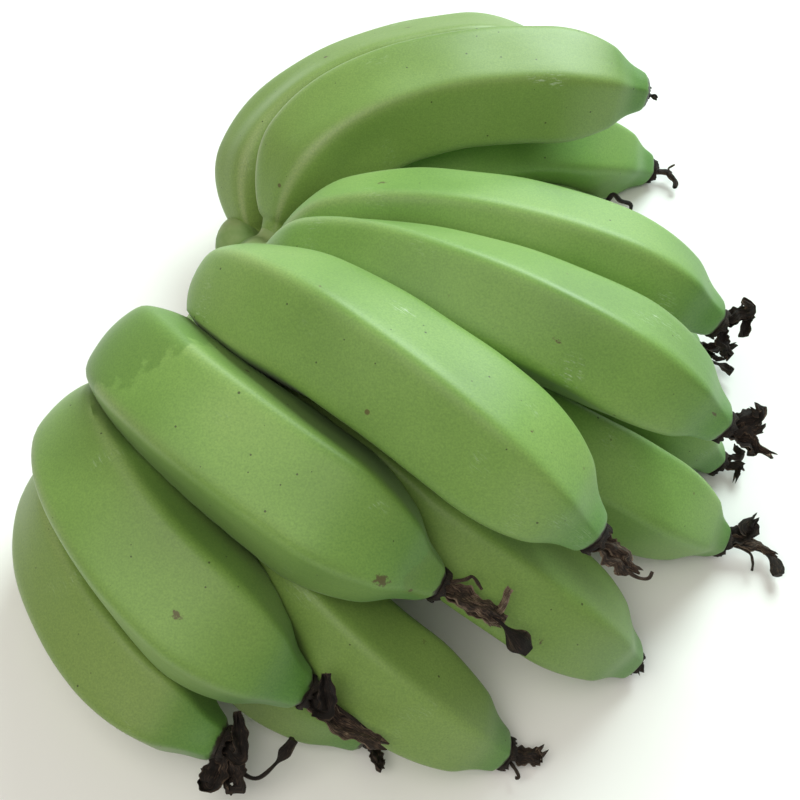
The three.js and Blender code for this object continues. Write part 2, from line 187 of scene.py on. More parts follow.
# Marks on the peel: fruit, distance from the crown, turn round the fruit, half length and half width.
# First corky scars, then wax scuffs, then places where the bloom is wiped off.
SCARS = [
    ("outer_2", 141, 9, 7, 6), ("outer_3", 181, 30, 10, 8), ("outer_4", 186, 14, 6, 3),
    ("outer_5", 166, 75, 8, 3), ("outer_5", 234, 48, 7, 4), ("outer_6", 74, 6, 9, 5),
    ("outer_7", 119, 40, 3, 3), ("outer_8", 112, 6, 6, 5), ("outer_8", 156, 0, 8, 3),
    ("inner_2", 168, -90, 5, 4), ("inner_3", 190, 15, 5, 4),
]
WAX_MARKS = [
    ("outer_4", 182, -3, 16, 8), ("outer_4", 128, -6, 18, 8), ("outer_5", 188, 6, 18, 8),
    ("outer_5", 199, -9, 15, 7), ("outer_3", 95, -60, 26, 9), ("outer_7", 176, 36, 16, 7),
]
BARE_PATCHES = [("outer_3", 45, -38, 56, 80), ("outer_3", 205, 0, 30, 60)]

# How deep the flutes of a neck are, as shares of the deepest, where they show
FLUTES = {"outer_5": 0.7, "outer_6": 0.7, "outer_7": 1.0, "outer_8": 1.0, "inner_8": 0.5}

# What a wax mark adds to the slow variation of the bloom
WAX_MARK = 0.3

# The slow swelling of the peel: its height, and the length that its waves are counted on
LUMP_HEIGHT = 0.32
LUMP_SPAN = 200

# A dried flower in millimetres: its ragged cup, how far past the tip its lobes start, and half the
# thickness of a flake there. A lobe that ends within STUB of the tip isn't draped.
CUP_RADIUS = 6.9
CUP_RISE = 2.7
CUP_DEPTH = 2.2
LOBE_START = 1.2
FLAKE_HALF = 0.55
STUB = 7

# The crown in millimetres: its section, as distances from the stem's axis and places along it, how far
# below the axis its ends are cut, the distances from the axis between which the brown of its cut side
# ends, and its rounded far end
CROWN_SECTION = [
    (60, -15), (66, -8), (67, 6), (61, 17), (58, 27), (52, 33), (44, 34),
    (40, 26), (38, 5), (40, -10), (47, -16),
]
CROWN_END_DROP = 12
CUT_SIDE = (46, 50)
SHOULDER_CENTRE = (-88, 122, 24)
SHOULDER_RADII = (14, 18, 18)

# The stage's lamps, as name, place and width in metres, watts and colour, the strength of the room's
# light, and the height above the table of the point that the camera looks at
LAMPS = [
    ("window", (0.8, 1.6, 1.3), 1.2, 64, "e9fbf6"),
    ("softbox", (-0.25, -0.35, 0.9), 0.9, 5.5, "fff9ee"),
]
ROOM_LIGHT = 0.29
AIM_HEIGHT = 0.06

# Fineness of the meshes, and small real clearances in millimetres
CROWN_STEPS = 96
CROWN_VOXEL = 1.5
SKIN_SIDES = 90
SKIN_RINGS = 130
FLAKE_SIDES = 22
FLAKE_RINGS = 36
THREAD_SIDES = 10
SPINE_BEADS = 60
TOUCH_GAP = 0.3
TABLE_GAP = 0.05
DRAPE_GAP = 3


def unit(v):
    """The vector, or each row of vectors, at length one."""
    v = np.asarray(v, float)
    return v / np.linalg.norm(v, axis=-1, keepdims=True)


def smooth(x, low, high):
    """Eases from 0 at low to 1 at high."""
    t = np.clip((x - low) / (high - low), 0, 1)
    return t * t * (3 - 2 * t)


HEADING, DIP = math.radians(CROWN_HEADING), math.radians(CROWN_DIP)
ALONG = np.array([math.cos(HEADING) * math.cos(DIP), math.sin(HEADING) * math.cos(DIP), -math.sin(DIP)])
SIDEWAYS = unit(np.cross(ALONG, [0, 0, 1]))
UPWARD = np.cross(SIDEWAYS, ALONG)


def stalk_root(angle, row):
    """Where a fruit's stalk stands on the crown."""
    a = math.radians(angle)
    outward = math.cos(a) * UPWARD + math.sin(a) * SIDEWAYS
    return CROWN_CENTRE - MIDDLE + (STALK_ARC - ROW_INSET * row) * outward + row * ROW_STEP * ALONG


def bezier(ends, t):
    """Points and directions on a cubic curve through four control points."""
    a, b, c, d = (np.asarray(p, float) for p in ends)
    t = t[:, None]
    points = (1 - t) ** 3 * a + 3 * (1 - t) ** 2 * t * b + 3 * (1 - t) * t * t * c + t**3 * d
    ways = 3 * (1 - t) ** 2 * (b - a) + 6 * (1 - t) * t * (c - b) + 3 * t * t * (d - c)
    return points, unit(ways)


class Fruit:
    """One fruit's middle line, its cross-sections and its neighbours."""

    def __init__(self, name, row, values):
        self.name = name
        angle, tip, self.girth, lean, rise, drop, reach, self.roll = values
        root = stalk_root(angle, row)
        tip = np.array(tip, float) - MIDDLE
        span = np.linalg.norm(tip - root)
        forward = (tip - root) / span
        upright = unit(np.array([0, 0, 1.0]) - forward[2] * forward)
        across = np.cross(upright, forward)
        lean, rise, drop = (math.radians(v) for v in (lean, rise, drop))
        arch = math.cos(lean) * upright + math.sin(lean) * across
        leave = math.cos(rise) * forward + math.sin(rise) * arch
        arrive = math.cos(drop) * forward - math.sin(drop) * arch
        self.ends = [root, root + leave * span * reach[0], tip - arrive * span * reach[1], tip]
        self.normal = np.cross(arch, forward)
        steps = np.linspace(0, 1, 400)
        points, _ = bezier(self.ends, steps)
        travelled = np.r_[0, np.cumsum(np.linalg.norm(np.diff(points, axis=0), axis=1))]
        self.length = travelled[-1]
        self.travel, self.steps = travelled, steps
        stations = np.linspace(0, self.length, SPINE_BEADS + 1)
        self.beads = self.frames(stations)[0]
        self.bead_radii = self.radius(stations)

    def frames(self, stations):
        """Points, tangents, ups and sides of the middle line at distances from the crown."""
        t = np.interp(stations, self.travel, self.steps)
        points, tangents = bezier(self.ends, t)
        ups = unit(np.cross(tangents, self.normal))
        return points, tangents, ups, np.cross(tangents, ups)

    def radius(self, s):
        """Radius of the round outline: stalk, shoulder, body, blunt tip."""
        body = self.girth / 2
        past = np.clip((s - STALK_LENGTH * 0.75) / (SHOULDER * 1.3), 0, 1)
        swell = 0.55 * smooth(s - STALK_LENGTH / 2, 0, SHOULDER) + 0.45 * np.sqrt(1 - (1 - past) ** 2)
        left = np.clip((self.length - s) / TIP_TAPER, 0, 1)
        waist = TIP_WAIST * np.sin(math.pi * np.clip(left / 0.4, 0, 1)) ** 2
        narrowing = TIP_RADIUS + (body - TIP_RADIUS) * (1 - (1 - left) ** 1.9 - waist)
        return np.minimum(STALK_RADIUS + (body - STALK_RADIUS) * swell, narrowing)

    def nearest(self, points):
        """Distance of points to the round outline, less than zero inside it, and their feet."""
        a, b = self.beads[:-1], self.beads[1:]
        link = b - a
        t = np.einsum("psk,sk->ps", points[:, None] - a[None], link) / (link**2).sum(1)
        t = np.clip(t, 0, 1)
        feet = a[None] + t[..., None] * link[None]
        radii = self.bead_radii[:-1] * (1 - t) + self.bead_radii[1:] * t
        gaps = np.linalg.norm(points[:, None] - feet, axis=2) - radii
        best = gaps.argmin(1)
        rows = np.arange(len(points))
        return gaps[rows, best], feet[rows, best]


FRUITS = [Fruit(f"outer_{i + 1}", 0, values) for i, values in enumerate(OUTER_ROW)]
FRUITS += [Fruit(f"inner_{i + 1}", 1, values) for i, values in enumerate(INNER_ROW)]


def hex_colour(code, alpha=1.0):
    """A linear colour from an sRGB hex code such as "82a55a"."""
    values = [int(code[i : i + 2], 16) / 255 for i in (0, 2, 4)]
    linear = [v / 12.92 if v <= 0.04045 else ((v + 0.055) / 1.055) ** 2.4 for v in values]
    return (*linear, alpha)


def add_node(tree, kind, inputs=None, stops=(), **settings):
    """Adds a node with its settings. An input given as a node or a socket is linked, any other is set.
    The stops of a colour ramp are pairs of place and colour."""
    made = tree.nodes.new(kind)
    for name, value in settings.items():
        setattr(made, name, value)
    for key, value in (inputs or {}).items():
        socket = made.inputs[key] if isinstance(key, int) else next(
            s for s in made.inputs if s.enabled and s.name == key)
        if isinstance(value, bpy.types.Node):
            value = next(s for s in value.outputs if s.enabled)
        if isinstance(value, bpy.types.NodeSocket):
            tree.links.new(value, socket)
        else:
            socket.default_value = value
    for i, (place, colour) in enumerate(stops):
        element = made.color_ramp.elements[i] if i < 2 else made.color_ramp.elements.new(place)
        element.position, element.color = place, colour
    return made


def new_material(name):
    """An empty node material and its node tree."""
    material = bpy.data.materials.new(name)
    material.use_nodes = True
    material.node_tree.nodes.clear()
    return material, material.node_tree


def peel_material(settings):
    """Waxy green peel: satin cuticle over green cells, so soft wide highlights and a milky bloom."""
    material, tree = new_material("green_plantain_peel")
    add = partial(add_node, tree)
    place = add("ShaderNodeTexCoord").outputs["Object"]
    along, from_tip, ridge, tint, scar, rubbed, bare = (
        add("ShaderNodeAttribute", attribute_name=name).outputs["Fac"]
        for name in ("along", "from_tip", "ridge", "tint", "scar", "wax", "bare")
    )
    ring = add("ShaderNodeAttribute", attribute_name="ring").outputs["Vector"]

    # broad soft patches about 50 mm across, and each fruit turned partly towards olive_and_shade_colour: its
    # own hue, and painted shade that darkens the fruits further back and lower down
    patches = add("ShaderNodeTexNoise", {"Vector": place, "Scale": 20, "Detail": 2, "Roughness": 0.4})
    green = add("ShaderNodeValToRGB", {"Fac": patches}, stops=[
        (0.3, hex_colour(settings.deep_green)),
        (0.7, hex_colour(settings.pale_green)),
        (0.5, hex_colour(settings.green)),
    ])
    # painted shade mixed in with the fruit's own hue: the darker colour darkens the fruits further back and
    # lower down
    green = add("ShaderNodeMix", {
        "Factor": tint, "A": green, "B": hex_colour(settings.olive_and_shade_colour)}, data_type="RGBA")

    # paler crests on the ridges towards the stalk, and a deep clean green before the tip
    crest = add("ShaderNodeMapRange", {"Value": along, "From Min": 115, "From Max": 20, "To Max": 0.65})
    crest = add("ShaderNodeMath", {0: ridge, 1: crest}, operation="MULTIPLY")
    green = add("ShaderNodeMix", {
        "Factor": crest, "A": green, "B": hex_colour("a7b285")}, data_type="RGBA")
    wander = add("ShaderNodeMath", {0: patches, 1: 30, 2: -15}, operation="MULTIPLY_ADD")
    depth = add("ShaderNodeMath", {0: from_tip, 1: wander}, operation="ADD")
    near_tip = add("ShaderNodeMapRange", {"Value": depth, "From Min": 34, "From Max": 3, "To Max": 0.7},
                   interpolation_type="SMOOTHSTEP")
    green = add("ShaderNodeMix", {
        "Factor": near_tip, "A": green, "B": hex_colour(settings.tip_green)}, data_type="RGBA")

    # where the bloom has been wiped off, the peel is deeper green up to a wavering edge
    wiped = add("ShaderNodeTexNoise", {"Vector": place, "Scale": 150, "Detail": 3})
    wiped = add("ShaderNodeMath", {0: wiped, 1: 0.35, 2: bare}, operation="MULTIPLY_ADD")
    wiped = add("ShaderNodeMapRange", {"Value": wiped, "From Min": 0.6, "From Max": 0.64, "To Max": 0.85})
    green = add("ShaderNodeMix", {
        "Factor": wiped, "A": green, "B": hex_colour(settings.wiped_green)}, data_type="RGBA")

    # cuticle cells, drawn 0.8 mm across and so coarser than the real ones, to show at all
    cells = add("ShaderNodeTexNoise", {"Vector": place, "Scale": 1250, "Detail": 2})
    grain = add("ShaderNodeValToRGB", {"Fac": cells}, stops=[
        (0.3, (0.84, 0.88, 0.83, 1)), (0.7, (1.12, 1.1, 1.02, 1))])
    green = add("ShaderNodeMix", {"Factor": 1.0, "A": green, "B": grain}, data_type="RGBA",
                blend_type="MULTIPLY")

    # wax rubbed up into pale flecks about 3 mm long, nearly all of them at the wax marks
    bloom = add("ShaderNodeTexNoise", {"Vector": place, "Scale": 34, "Detail": 1})
    bloom = add("ShaderNodeMath", {0: bloom, 1: rubbed}, operation="ADD")
    bloom = add("ShaderNodeMapRange", {"Value": bloom, "From Min": 0.66, "From Max": 0.8})
    flecks = add("ShaderNodeTexNoise", {"Vector": ring, "Scale": 18, "Detail": 4, "Roughness": 0.65})
    flecks = add("ShaderNodeMapRange", {
        "Value": flecks, "From Min": 0.54, "From Max": 0.68, "To Max": 0.55})
    wax = add("ShaderNodeMath", {0: bloom, 1: flecks}, operation="MULTIPLY")
    skin = add("ShaderNodeMix", {"Factor": wax, "A": green, "B": hex_colour("c6d6bd")}, data_type="RGBA")

    # specks: dark ones up to 1.3 mm in more than half of the 6 mm cells, and brown ones up to 2.6 mm in a
    # third of the 16 mm cells
    for scale, rarest, widest, colour in ((170, 0.4, 0.11, "33351c"), (62, 0.66, 0.08, "554524")):
        spots = add("ShaderNodeTexVoronoi", {"Vector": place, "Scale": scale})
        draw = add("ShaderNodeSeparateColor", {"Color": spots.outputs["Color"]})
        limit = add("ShaderNodeMapRange", {
            "Value": draw, "From Min": rarest, "From Max": 1.0, "To Min": 0.0, "To Max": widest})
        inside = add("ShaderNodeMath", {0: limit, 1: spots.outputs["Distance"]}, operation="SUBTRACT")
        speck = add("ShaderNodeMapRange", {"Value": inside, "From Max": 0.025, "To Max": 0.8})
        skin = add("ShaderNodeMix", {"Factor": speck, "A": skin, "B": hex_colour(colour)}, data_type="RGBA")

    # corky scars, torn into pieces of 1 to 2 mm, where the scar value lets them
    cork = add("ShaderNodeTexNoise", {"Vector": place, "Scale": 420, "Detail": 4, "Roughness": 0.7})
    cork = add("ShaderNodeMath", {0: scar, 1: cork}, operation="ADD")
    cork = add("ShaderNodeMapRange", {"Value": cork, "From Min": 1.16, "From Max": 1.26, "To Max": 0.85})
    skin = add("ShaderNodeMix", {"Factor": cork, "A": skin, "B": hex_colour("53442a")}, data_type="RGBA")

    # the torn brown rim round the dried flower
    torn = add("ShaderNodeTexNoise", {"Vector": place, "Scale": 330, "Detail": 3})
    rim = add("ShaderNodeMath", {0: torn, 1: 4.0, 2: -0.2}, operation="MULTIPLY_ADD")
    rim = add("ShaderNodeMath", {0: rim, 1: from_tip}, operation="SUBTRACT")
    rim = add("ShaderNodeMapRange", {"Value": rim, "From Max": 1.0})
    skin = add("ShaderNodeMix", {"Factor": rim, "A": skin, "B": hex_colour("2c2319")}, data_type="RGBA")

    rough = add("ShaderNodeMapRange", {
        "Value": patches, "From Min": 0.3, "From Max": 0.7, "To Min": 0.42, "To Max": 0.52})
    streaks = add("ShaderNodeTexNoise", {"Vector": ring, "Scale": 3, "Detail": 1})
    relief = add("ShaderNodeBump", {"Height": cells, "Strength": 0.25, "Distance": 0.0001})
    relief = add("ShaderNodeBump", {
        "Height": streaks, "Normal": relief, "Strength": 0.15, "Distance": 0.0005})
    shader = add("ShaderNodeBsdfPrincipled", {
        "Base Color": skin, "Roughness": rough, "Normal": relief, "IOR": 1.45,
        "Sheen Weight": 0.06, "Sheen Roughness": 0.45})
    add("ShaderNodeOutputMaterial", {"Surface": shader})
    return material


def flower_material(settings):
    """Dried petal and style tissue: shrivelled fibre, near black to brown, matt with pale edges."""
    material, tree = new_material("dried_flower_tissue")
    add = partial(add_node, tree)
    place = add("ShaderNodeTexCoord").outputs["Object"]
    shade = add("ShaderNodeAttribute", attribute_name="shade").outputs["Fac"]
    ring = add("ShaderNodeAttribute", attribute_name="ring").outputs["Vector"]
    edge = add("ShaderNodeAttribute", attribute_name="ridge").outputs["Fac"]

    # fibres along the tissue, 0.2 to 0.3 mm apart, and blotches of 4 mm
    fibres = add("ShaderNodeTexNoise", {"Vector": ring, "Scale": 12, "Detail": 4})
    blotch = add("ShaderNodeTexNoise", {"Vector": place, "Scale": 260, "Detail": 3})
    tone = add("ShaderNodeMath", {0: fibres, 1: 2.0, 2: -1.16}, operation="MULTIPLY_ADD")
    tone = add("ShaderNodeMath", {0: blotch, 1: 0.7, 2: tone}, operation="MULTIPLY_ADD")
    tone = add("ShaderNodeMath", {0: shade, 1: 0.72, 2: tone}, operation="MULTIPLY_ADD")
    tone = add("ShaderNodeMath", {0: edge, 1: 0.36, 2: tone}, operation="MULTIPLY_ADD")
    colour = add("ShaderNodeValToRGB", {"Fac": tone}, stops=[
        (0.12, hex_colour(settings.black)),
        (1.0, hex_colour(settings.tan)),
        (0.45, hex_colour(settings.dark_brown)),
        (0.78, hex_colour(settings.brown)),
    ])
    relief = add("ShaderNodeBump", {"Height": fibres, "Strength": 0.8, "Distance": 0.0008})
    relief = add("ShaderNodeBump", {
        "Height": blotch, "Normal": relief, "Strength": 0.6, "Distance": 0.0004})
    shader = add("ShaderNodeBsdfPrincipled", {
        "Base Color": colour, "Roughness": 0.8, "Normal": relief, "IOR": 1.4})
    add("ShaderNodeOutputMaterial", {"Surface": shader})
    return material


def crown_material(settings):
    """Crown: green stalk tissue outside, and a knife-cut inner face that has dried brown."""
    material, tree = new_material("crown_tissue")
    add = partial(add_node, tree)
    place = add("ShaderNodeTexCoord").outputs["Object"]
    cut = add("ShaderNodeAttribute", attribute_name="cut").outputs["Fac"]
    patches = add("ShaderNodeTexNoise", {"Vector": place, "Scale": 60, "Detail": 4})
    green = add("ShaderNodeValToRGB", {"Fac": patches}, stops=[
        (0.35, hex_colour(settings.green)), (0.62, hex_colour(settings.pale_green))])
    fibres = add("ShaderNodeTexNoise", {"Vector": place, "Scale": 480, "Detail": 5})
    flesh = add("ShaderNodeValToRGB", {"Fac": fibres}, stops=[
        (0.35, hex_colour(settings.cut_dark)), (0.65, hex_colour(settings.cut_pale))])
    wander = add("ShaderNodeMath", {0: patches, 1: 0.5, 2: -0.25}, operation="MULTIPLY_ADD")
    wander = add("ShaderNodeMath", {0: cut, 1: wander}, operation="ADD")
    edge = add("ShaderNodeMapRange", {"Value": wander, "From Min": 0.4, "From Max": 0.6})
    colour = add("ShaderNodeMix", {"Factor": edge, "A": green, "B": flesh}, data_type="RGBA")
    relief = add("ShaderNodeBump", {"Height": fibres, "Strength": 0.5, "Distance": 0.0006})
    shader = add("ShaderNodeBsdfPrincipled", {"Base Color": colour, "Roughness": 0.62, "Normal": relief})
    add("ShaderNodeOutputMaterial", {"Surface": shader})
    return material


def deselect_all():
    """Leaves nothing selected, so that an operator acts on the new piece alone."""
    for obj in bpy.context.selected_objects:
        obj.select_set(False)


def edit(obj):
    """Selects one object alone and opens it for editing."""
    deselect_all()
    obj.select_set(True)
    bpy.context.view_layer.objects.active = obj
    bpy.ops.object.mode_set(mode="EDIT")


def set_attribute(mesh, name, values, kind="FLOAT"):
    """Stores a value for each vertex, for the materials to read."""
    made = mesh.attributes.new(name, kind, "POINT")
    made.data.foreach_set("value" if kind == "FLOAT" else "vector", np.asarray(values, np.float32).ravel())


def finish_piece(obj, material, node, smooth_angle=50):
    """Gives a finished piece its material and its body, and hides the CAD node that it stands for."""
    obj.data.materials.clear()
    obj.data.materials.append(material)
    deselect_all()
    obj.select_set(True)
    bpy.context.view_layer.objects.active = obj
    bpy.ops.object.shade_smooth_by_angle(angle=math.radians(smooth_angle))
    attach(obj, BODY)
    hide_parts(node)
    deselect_all()


def blank_tube(name, sides, cuts):
    """An upright tube of unit height and radius with closed ends and cuts + 1 bands, as a new object.

    Returns the object, and each vertex's height (0 to 1), angle and distance from the axis."""
    deselect_all()
    bpy.ops.mesh.primitive_cylinder_add(vertices=sides, radius=1, depth=1, end_fill_type="TRIFAN")
    obj = bpy.context.active_object
    obj.name = name
    obj.data.name = name
    bpy.context.tool_settings.mesh_select_mode = (False, True, False)
    edit(obj)
    bpy.ops.mesh.select_all(action="DESELECT")
    bpy.ops.object.mode_set(mode="OBJECT")
    for e in obj.data.edges:
        low, high = (obj.data.vertices[i].co.z for i in e.vertices)
        e.select = abs(high - low) > 0.5
    bpy.ops.object.mode_set(mode="EDIT")
    bpy.ops.mesh.subdivide(number_cuts=cuts)
    bpy.ops.object.mode_set(mode="OBJECT")
    places = np.empty(len(obj.data.vertices) * 3, np.float32)
    obj.data.vertices.foreach_get("co", places)
    places = places.reshape(-1, 3).astype(float)
    heights = places[:, 2] + 0.5
    return obj, heights, np.arctan2(places[:, 0], places[:, 1]), np.hypot(places[:, 0], places[:, 1])


def move_vertices(obj, points):
    """Sets the vertices to points in millimetres, and turns the faces outwards."""
    obj.data.vertices.foreach_set("co", (points * MM).astype(np.float32).ravel())
    obj.data.update()
    edit(obj)
    bpy.ops.mesh.select_all(action="SELECT")
    bpy.ops.mesh.normals_make_consistent(inside=False)
    bpy.ops.mesh.select_all(action="DESELECT")
    bpy.ops.object.mode_set(mode="OBJECT")


def ridge_values(angles, s, fruit):
    """Outline factor of the five flat sides, and 1 on a ridge fading to 0 on a flat side."""
    total = np.zeros_like(angles)
    for face in range(FACES):
        total += np.maximum(0, np.cos(angles - face * 2 * math.pi / FACES)) ** FACE_SHARPNESS
    t = s / fruit.length
    amount = smooth(t, 0.06, 0.38) * np.clip(0.5 + (1 - t) / 0.16, 0, 1)
    factor = 1 + (total ** (-1 / FACE_SHARPNESS) / FACE_MEAN - 1) * amount
    # the sides are hollow between the ridges from the stalk to the shoulder
    neck = smooth(s, 8, 26) * (1 - smooth(s, 60, 125)) * FLUTES.get(fruit.name, 0)
    factor = factor - FLUTE_DEPTH * neck * np.cos(FACES * angles)
    nearness = np.abs((angles / (2 * math.pi / FACES)) % 1 - 0.5) * 2
    return factor, smooth(1 - nearness, 0.72, 1.0) * np.maximum(amount, neck)


def lumps(angles, s, seed):
    """Slow uneven swelling of a grown fruit, in millimetres."""
    draw = np.random.default_rng(seed)
    total = np.zeros_like(angles)
    for turns, waves in ((1, 1.5), (2, 2.5), (3, 2), (2, 5), (4, 4)):
        phase, shift = draw.uniform(0, 2 * math.pi, 2)
        swell = np.sin(waves * 2 * math.pi * s / LUMP_SPAN + shift)
        total += np.sin(turns * angles + phase) * swell / turns
    return total * LUMP_HEIGHT


def pressed(fruit, centres, outward, reach, own_radius, gap=TOUCH_GAP):
    """Draws skin points back to where a neighbouring fruit leans on this one."""
    low_box, high_box = fruit.beads.min(0) - fruit.girth / 2, fruit.beads.max(0) + fruit.girth / 2
    for other in FRUITS:
        margin = other.girth / 2
        apart = (other.beads.max(0) + margin < low_box) | (other.beads.min(0) - margin > high_box)
        if other is fruit or apart.any():
            continue
        distance = other.nearest(centres + outward * reach[:, None])[0]
        hit = np.nonzero(reach - own_radius + gap > distance)[0]
        if not len(hit):
            continue
        low, high = np.zeros(len(hit)), reach[hit].copy()
        for _ in range(14):
            middle = (low + high) / 2
            distance = other.nearest(centres[hit] + outward[hit] * middle[:, None])[0]
            far = middle - own_radius[hit] + gap > distance
            high = np.where(far, middle, high)
            low = np.where(far, low, middle)
        reach[hit] = low
    return reach


def mark_values(fruit, s, angles, marks):
    """1 in the middle of each mark of the fruit, fading to 0 round it."""
    total = np.zeros(len(s))
    for name, place, turn, length, width in marks:
        if name == fruit.name:
            sideways = np.angle(np.exp(1j * (angles - math.radians(turn)))) * fruit.girth / 2
            total = np.maximum(total, 1 - np.hypot((s - place) / length, sideways / width))
    return np.clip(total, 0, 1)


def build_fruit(fruit, material, seed):
    """One fruit: a tube bent along its middle line, ridged, and pressed by its neighbours."""
    row, number = fruit.name.split("_")
    node = f"{row}_fruit_{number}"
    obj, heights, angles, spread = blank_tube(node + "_peel", SKIN_SIDES, SKIN_RINGS)
    centre_cap = spread < 0.01
    # rings lie closer together at the stalk and at the tip
    s = (heights - 0.1 * np.sin(2 * math.pi * heights)) * fruit.length
    factor, ridge = ridge_values(angles, s, fruit)
    turned = angles + np.radians(fruit.roll[0] + (fruit.roll[1] - fruit.roll[0]) * s / fruit.length)
    centres, _, ups, sides = fruit.frames(s)
    outward = np.cos(turned)[:, None] * ups + np.sin(turned)[:, None] * sides
    round_radius = fruit.radius(s)
    reach = round_radius * factor + lumps(angles, s, seed) * smooth(s, 10, 60)
    end = fruit.length - s
    reach = reach * (1 - 0.12 * (1 - smooth(end, 0, 2.5)))
    reach = pressed(fruit, centres, outward, reach, round_radius)
    points = centres + outward * np.where(centre_cap, 0, reach)[:, None]
    points[:, 2] = np.maximum(points[:, 2], TABLE_GAP)
    move_vertices(obj, points)
    for name, values in (
        ("along", s),
        ("from_tip", end),
        ("ridge", ridge),
        # how far the fruit turns to olive_and_shade_colour, partly its own hue and partly painted shade
        ("tint", np.full(len(s), OLIVE_AND_SHADE_AMOUNTS[fruit.name])),
        ("scar", mark_values(fruit, s, angles, SCARS)),
        ("wax", mark_values(fruit, s, angles, WAX_MARKS) * WAX_MARK),
        ("bare", mark_values(fruit, s, angles, BARE_PATCHES)),
    ):
        set_attribute(obj.data, name, values)
    ring = np.stack([np.cos(angles) * 2, np.sin(angles) * 2, s / 60 + seed * 7.3], 1)
    set_attribute(obj.data, "ring", ring, "FLOAT_VECTOR")
    finish_piece(obj, material, node)


def catmull_rom(a, b, c, d, t):
    """Points from b to c on a smooth line through a, b, c and d."""
    bend = 2 * a - 5 * b + 4 * c - d
    twist = 3 * b - 3 * c + d - a
    return 0.5 * (2 * b + (c - a) * t + bend * t**2 + twist * t**3)


def smooth_path(points, count):
    """A Catmull-Rom line through points, evenly divided into count places."""
    points = np.asarray(points, float)
    padded = np.vstack([2 * points[0] - points[1], points, 2 * points[-1] - points[-2]])
    pieces = []
    for i in range(len(points) - 1):
        a, b, c, d = padded[i : i + 4]
        t = np.linspace(0, 1, 24, endpoint=False)[:, None]
        pieces.append(catmull_rom(a, b, c, d, t))
    line = np.vstack([*pieces, points[-1:]])
    travelled = np.r_[0, np.cumsum(np.linalg.norm(np.diff(line, axis=0), axis=1))]
    even = np.linspace(0, travelled[-1], count)
    return np.stack([np.interp(even, travelled, line[:, k]) for k in range(3)], 1), travelled[-1]


def lift_clear(point, clearance):
    """Moves a point off every fruit that it would sink into, so that a flake drapes over it."""
    for fruit in FRUITS:
        distance, foot = (v[0] for v in fruit.nearest(point[None]))
        if distance < clearance:
            point = point + unit(point - foot) * (clearance - distance)
    return point


def lobe_frames(path):
    """Tangents, widths' directions and thicknesses' directions along a lobe's path."""
    tangents = unit(np.gradient(path, axis=0))
    across = unit(np.cross(tangents, [0, 0, 1.0]))
    return tangents, across, np.cross(across, tangents)


def build_lobe(lobe, start, seed):
    """One dried flake or thread of a flower, as its own closed skin."""
    kind, width, second, shade, offsets = lobe
    clearance = (max(width, second) if kind == "thread" else width) / 2 + DRAPE_GAP
    tip = start["point"]
    passed = [tip + np.array(p, float) for p in offsets]
    if np.linalg.norm(offsets[-1]) > STUB:
        passed = [lift_clear(p, clearance) for p in passed]
    sides = THREAD_SIDES if kind == "thread" else FLAKE_SIDES
    obj, heights, angles, spread = blank_tube("lobe", sides, FLAKE_RINGS - 1)
    base = tip + start["tangent"] * LOBE_START
    path, length = smooth_path([base, *passed], FLAKE_RINGS + 1)
    tangents, across, over = lobe_frames(path)
    index = np.clip(np.round(heights * FLAKE_RINGS).astype(int), 0, FLAKE_RINGS)
    t = heights
    draw = np.random.default_rng(seed)
    phases = draw.uniform(0, 2 * math.pi, 8)
    if kind == "thread":
        knob_start = 1 - 1.1 * second / length
        swell = smooth(t, knob_start - 0.12, knob_start + 0.25 * (1 - knob_start)) if second else 0 * t
        swell = swell * (1 - 0.3 * smooth(t, 0.5 + knob_start / 2, 1.0))
        half = width / 2 * (1 - 0.25 * t) + max(0, second - width) / 2 * swell
        wobble = 1 + (0.12 + 0.16 * swell) * np.sin(3 * angles + phases[0] + 9 * t)
        wobble = wobble + (0.1 + 0.08 * swell) * np.sin(26 * t + phases[1])
        wobble = wobble + 0.18 * swell * np.sin(5 * angles + phases[2])
        sideways, upwards = np.cos(angles) * half * wobble, np.sin(angles) * half * wobble
        onward = np.zeros(len(t))
    else:
        q = np.cos(angles)
        body = 0.38 + 0.62 * np.sin(math.pi * np.clip(0.22 + 0.68 * t, 0, 1))
        ragged = 1 + 0.16 * np.sin(17 * t + phases[2]) + 0.1 * np.sin(41 * t + phases[3] + q)
        half = width / 2 * body * ragged
        fold = second * (
            0.55 * np.sin(2.6 * q + phases[4] + 3.5 * t)
            + 0.22 * np.sin(7.5 * q + phases[5] + 9 * t)
            + 0.3 * np.sin(5 * t * math.pi + phases[6])
        )
        cup = 0.5 * second * q * q * np.sin(2 * t + phases[7])
        thick = FLAKE_HALF * (0.6 + 0.4 * (1 - t))
        sideways = q * half
        upwards = (fold + cup) * smooth(t, 0.0, 0.25) + thick * np.sin(angles)
        onward = 2.2 * np.sin(6 * q + phases[0]) * smooth(t, 0.7, 1.0)
    closed = spread < 0.01
    sideways = np.where(closed, 0, sideways)
    points = path[index] + across[index] * sideways[:, None] + over[index] * upwards[:, None]
    points = points + tangents[index] * onward[:, None]
    points[:, 2] = np.maximum(points[:, 2], TABLE_GAP)
    move_vertices(obj, points)
    set_attribute(obj.data, "shade", np.full(len(t), shade))
    set_attribute(obj.data, "ridge", smooth(np.abs(np.cos(angles)), 0.8, 1.0))
    ring = np.stack([np.cos(angles) * 1.5, np.sin(angles) * 1.5, t * length / 30 + seed], 1)
    set_attribute(obj.data, "ring", ring, "FLOAT_VECTOR")
    return obj


